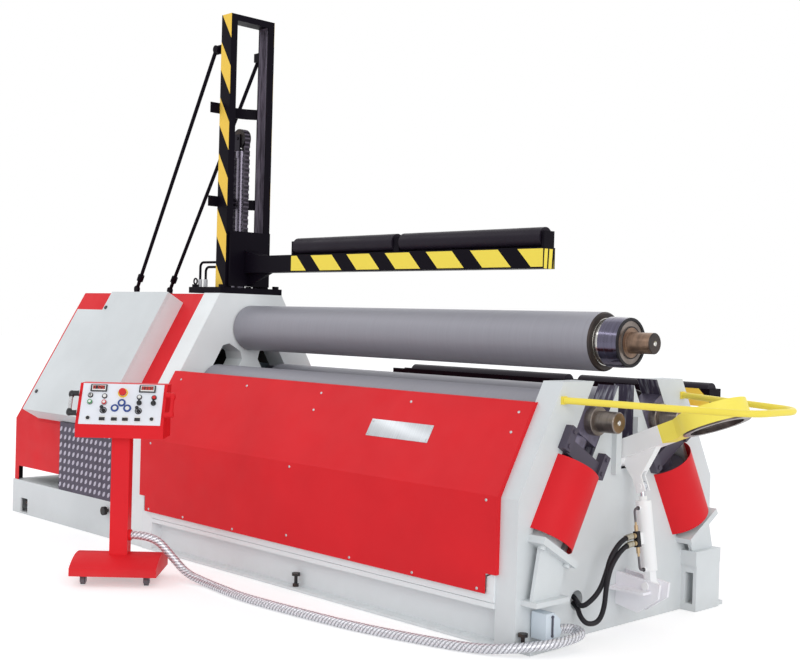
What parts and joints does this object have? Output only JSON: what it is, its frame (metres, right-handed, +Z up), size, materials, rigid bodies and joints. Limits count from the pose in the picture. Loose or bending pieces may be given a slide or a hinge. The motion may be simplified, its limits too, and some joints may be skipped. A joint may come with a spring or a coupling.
{
  "type": "plate rolling machine",
  "caption": "Plate bending roll with a top roll over lifting lower rolls on a welded base, a drop-end yoke, overhead support arm, rear support, drive housing and wheeled console.",
  "frame": {"origin": "on the floor under the middle of the base, at the centre of the anchor bolts", "axes": "+X along the rolls towards the drop end, +Y to the rear, +Z up"},
  "size_m": [6.032, 2.8931, 3.738],
  "materials": {
    "light_grey_paint": "semi-gloss paint",
    "red_paint": "gloss paint",
    "yellow_paint": "gloss paint",
    "dark_paint": "semi-gloss paint",
    "roll_steel": "ground steel",
    "bright_steel": "polished",
    "dark_steel": "oiled steel",
    "treadplate": "raised lozenges",
    "conduit_steel": "wound strip",
    "hose_rubber": "satin",
    "black_plastic": "matte",
    "red_plastic": "gloss",
    "green_plastic": "gloss",
    "panel_plate": "satin",
    "pale_box": "semi-gloss paint",
    "wheel_rubber": "matte",
    "bronze": "worn"
  },
  "bodies": {
    "machine": {"base_frame": "light_grey_paint", "levelling_screws": "black_plastic", "drive_side_frame": "light_grey_paint", "drop_side_frame": "light_grey_paint", "yoke_hinge_pin": "roll_steel", "front_cover": "red_paint", "rear_cover": "red_paint", "housing_front": "red_paint", "housing_rear": "red_paint", "power_pack": "light_grey_paint", "electrical_cabinet": "light_grey_paint", "treadplate_guard": "treadplate", "top_gearmotor": "dark_paint", "lift_cylinders": "dark_steel", "cylinder_guards": "red_paint", "cylinder_straps": "dark_paint", "hoop_guard": "yellow_paint", "mast_frame": "dark_paint", "stay_rods": "dark_paint", "mast_cylinder": "bright_steel", "support_columns": "dark_paint", "console_stand": "red_paint", "console_box": "red_paint", "console_panel": "panel_plate", "junction_box": "pale_box", "console_conduit": "conduit_steel", "hose_upper": "hose_rubber", "hose_lower": "hose_rubber"},
    "top_roll": {"top_roll": "roll_steel", "top_roll_bearing": "bright_steel"},
    "front_slide": {"front_roll_slide": "dark_steel", "front_gearmotor": "dark_paint"},
    "front_roll": {"front_roll": "roll_steel"},
    "rear_slide": {"rear_roll_slide": "dark_steel", "rear_gearmotor": "dark_paint"},
    "rear_roll": {"rear_roll": "roll_steel"},
    "yoke": {"drop_end_yoke": "yellow_paint", "yoke_bush": "bronze"},
    "tilt_cylinder": {"tilt_cylinder": "light_grey_paint", "lock_valve": "dark_steel"},
    "tilt_rod": {"tilt_rod": "bright_steel"},
    "mast_rod": {"mast_rod": "bright_steel", "lift_chain": "dark_steel"},
    "chain_sheave": {"chain_sheave": "dark_steel"},
    "carriage_arm": {"carriage_arm": "dark_paint"},
    "arm_roller_inner": {"arm_roller_inner": "dark_paint"},
    "arm_roller_outer": {"arm_roller_outer": "dark_paint"},
    "support_beam": {"support_beam": "dark_paint"},
    "support_roller_inner": {"support_roller_inner": "dark_paint"},
    "support_roller_outer": {"support_roller_outer": "dark_paint"},
    "cabinet_door": {"cabinet_door": "light_grey_paint"},
    "e_stop_button": {"e_stop_button": "red_plastic"},
    "start_button": {"start_button": "green_plastic"},
    "stop_button": {"stop_button": "red_plastic"},
    "joystick_left": {"joystick_left": "black_plastic"},
    "joystick_right": {"joystick_right": "black_plastic"},
    "selector_left": {"selector_left": "black_plastic"},
    "selector_right": {"selector_right": "black_plastic"},
    "console_front_wheels": {"console_front_wheels": "wheel_rubber"},
    "console_rear_wheels": {"console_rear_wheels": "wheel_rubber"}
  },
  "joints": [
    {"name": "top_roll_spin", "type": "hinge", "parent": "machine", "child": "top_roll", "pos_m": [0, 0, 1.494], "axis": [1, 0, 0], "continuous": true},
    {"name": "front_slide_lift", "type": "slide", "parent": "machine", "child": "front_slide", "axis": [0, 0.5, 0.866], "range_m": [0, 0.18]},
    {"name": "front_roll_spin", "type": "hinge", "parent": "front_slide", "child": "front_roll", "pos_m": [0, -0.285, 1.093], "axis": [1, 0, 0], "continuous": true},
    {"name": "rear_slide_lift", "type": "slide", "parent": "machine", "child": "rear_slide", "axis": [0, -0.5, 0.866], "range_m": [0, 0.18]},
    {"name": "rear_roll_spin", "type": "hinge", "parent": "rear_slide", "child": "rear_roll", "pos_m": [0, 0.285, 1.093], "axis": [1, 0, 0], "continuous": true},
    {"name": "yoke_tilt", "type": "hinge", "parent": "machine", "child": "yoke", "pos_m": [2.545, 0, 0.885], "axis": [0, -1, 0], "range_deg": [0, 68]},
    {"name": "tilt_cylinder_swing", "type": "hinge", "parent": "machine", "child": "tilt_cylinder", "pos_m": [2.759, 0, 0.245], "axis": [0, 1, 0], "range_deg": [0, 5.33]},
    {"name": "tilt_rod_stroke", "type": "slide", "parent": "tilt_cylinder", "child": "tilt_rod", "axis": [-0.1424, 0, 0.9898], "range_m": [0, 0.2112]},
    {"name": "mast_rod_lift", "type": "slide", "parent": "machine", "child": "mast_rod", "axis": [0, 0, 1], "range_m": [0, 0.6], "deforming": ["lift_chain"]},
    {"name": "chain_sheave_spin", "type": "hinge", "parent": "mast_rod", "child": "chain_sheave", "pos_m": [-0.865, 0, 2.87], "axis": [0, -1, 0], "range_deg": [0, 530]},
    {"name": "carriage_lift", "type": "slide", "parent": "mast_rod", "child": "carriage_arm", "axis": [0, 0, 1], "range_m": [0, 0.6]},
    {"name": "arm_roller_inner_spin", "type": "hinge", "parent": "carriage_arm", "child": "arm_roller_inner", "pos_m": [0, 0, 2.068], "axis": [1, 0, 0], "continuous": true},
    {"name": "arm_roller_outer_spin", "type": "hinge", "parent": "carriage_arm", "child": "arm_roller_outer", "pos_m": [0, 0, 2.068], "axis": [1, 0, 0], "continuous": true},
    {"name": "support_beam_lift", "type": "slide", "parent": "machine", "child": "support_beam", "axis": [0, 0, 1], "range_m": [0, 0.35]},
    {"name": "support_roller_inner_spin", "type": "hinge", "parent": "support_beam", "child": "support_roller_inner", "pos_m": [0, 1, 1.206], "axis": [1, 0, 0], "continuous": true},
    {"name": "support_roller_outer_spin", "type": "hinge", "parent": "support_beam", "child": "support_roller_outer", "pos_m": [0, 1, 1.206], "axis": [1, 0, 0], "continuous": true},
    {"name": "cabinet_door_swing", "type": "hinge", "parent": "machine", "child": "cabinet_door", "pos_m": [-1.094, -0.86425, 0.96871], "axis": [0, 0.5, 0.866], "range_deg": [0, 95]},
    {"name": "e_stop_button_press", "type": "slide", "parent": "machine", "child": "e_stop_button", "axis": [-0.6513, 0.6074, -0.4548], "range_m": [0, 0.005], "stiffness_N_per_m": 600, "springref_m": -0.005},
    {"name": "start_button_press", "type": "slide", "parent": "machine", "child": "start_button", "axis": [-0.6513, 0.6074, -0.4548], "range_m": [0, 0.005], "stiffness_N_per_m": 600, "springref_m": -0.005},
    {"name": "stop_button_press", "type": "slide", "parent": "machine", "child": "stop_button", "axis": [-0.6513, 0.6074, -0.4548], "range_m": [0, 0.005], "stiffness_N_per_m": 600, "springref_m": -0.005},
    {"name": "joystick_left_tilt", "type": "hinge", "parent": "machine", "child": "joystick_left", "pos_m": [0.05754, -1.62783, 1.0069], "axis": [0.682, 0.7314, 0], "range_deg": [-18, 18], "stiffness_Nm_per_rad": 2},
    {"name": "joystick_right_tilt", "type": "hinge", "parent": "machine", "child": "joystick_right", "pos_m": [0.19667, -1.47863, 1.0069], "axis": [0.682, 0.7314, 0], "range_deg": [-18, 18], "stiffness_Nm_per_rad": 2},
    {"name": "selector_left_turn", "type": "hinge", "parent": "machine", "child": "selector_left", "pos_m": [0.17874, -1.46191, 1.05052], "axis": [0.6513, -0.6074, 0.4548], "range_deg": [-45, 45]},
    {"name": "selector_right_turn", "type": "hinge", "parent": "machine", "child": "selector_right", "pos_m": [0.23534, -1.40121, 1.05052], "axis": [0.6513, -0.6074, 0.4548], "range_deg": [-45, 45]},
    {"name": "console_front_wheels_spin", "type": "hinge", "parent": "machine", "child": "console_front_wheels", "pos_m": [0.16336, -1.58704, 0.027], "axis": [0.682, 0.7314, 0], "continuous": true},
    {"name": "console_rear_wheels_spin", "type": "hinge", "parent": "machine", "child": "console_rear_wheels", "pos_m": [-0.0341, -1.4029, 0.027], "axis": [0.682, 0.7314, 0], "continuous": true}
  ],
  "couplings": [
    {"joint": "front_roll_spin", "follows": "top_roll_spin", "ratio": -1.1429},
    {"joint": "rear_roll_spin", "follows": "top_roll_spin", "ratio": -1.1429},
    {"joint": "tilt_cylinder_swing", "follows": "yoke_tilt", "ratio": 0.078349},
    {"joint": "tilt_rod_stroke", "follows": "yoke_tilt", "m_per_rad": 0.17785},
    {"joint": "carriage_lift", "follows": "mast_rod_lift", "ratio": 1},
    {"joint": "chain_sheave_spin", "follows": "mast_rod_lift", "rad_per_m": 15.385}
  ]
}
